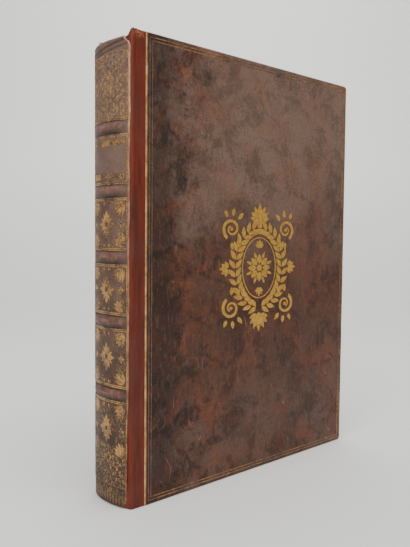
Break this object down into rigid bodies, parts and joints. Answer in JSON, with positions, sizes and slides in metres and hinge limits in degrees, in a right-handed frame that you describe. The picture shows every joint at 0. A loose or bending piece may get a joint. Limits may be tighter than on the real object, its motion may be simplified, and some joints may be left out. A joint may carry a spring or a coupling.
{
  "type": "antique leather book",
  "caption": "Closed folio in full calf with a rounded spine on raised bands, gilt tooling, pasteboard covers that open at the joints and one solid block of pages.",
  "frame": {"origin": "under the middle of the book's box, on the plane the book stands on", "axes": "+X from the spine to the fore-edge, -Y out of the front cover, +Z from tail to head"},
  "size_m": [0.2678, 0.0492, 0.35],
  "materials": {
    "first_calf": "worn, mottled, semi-gloss",
    "spine_calf": "worn, faded",
    "new_leather": "smooth, satin",
    "gold": "rubbed gold leaf",
    "pages": "aged rag paper, matte",
    "endpaper": "aged paper, matte",
    "pasteboard": "pressed pasteboard, matte",
    "lining": "pasted lining paper, matte",
    "hemp": "twisted hemp cord",
    "silk": "worked silk thread"
  },
  "bodies": {
    "book_block": {"text_block": "pages", "spine_linings": "lining", "sewing_cord_1": "hemp", "sewing_cord_2": "hemp", "sewing_cord_3": "hemp", "sewing_cord_4": "hemp", "sewing_cord_5": "hemp", "new_spine_leather": "new_leather", "first_spine": "spine_calf", "head_band": "silk", "tail_band": "silk", "spine_gilt_lines": "gold", "spine_gilt_tools": "gold"},
    "front_cover": {"front_board": "pasteboard", "front_calf": "first_calf", "front_joint_strip": "new_leather", "front_pastedown": "endpaper", "front_cord_slips": "hemp", "front_gilt_border": "gold", "front_gilt_ornament": "gold"},
    "rear_cover": {"rear_board": "pasteboard", "rear_calf": "first_calf", "rear_joint_strip": "new_leather", "rear_pastedown": "endpaper", "rear_cord_slips": "hemp", "rear_gilt_border": "gold"}
  },
  "joints": [
    {"name": "front_cover_hinge", "type": "hinge", "parent": "book_block", "child": "front_cover", "pos_m": [-0.12255, -0.02405, 0.175], "axis": [0, 0, -1], "range_deg": [0, 180]},
    {"name": "rear_cover_hinge", "type": "hinge", "parent": "book_block", "child": "rear_cover", "pos_m": [-0.12255, 0.02405, 0.175], "axis": [0, 0, 1], "range_deg": [0, 180]}
  ]
}
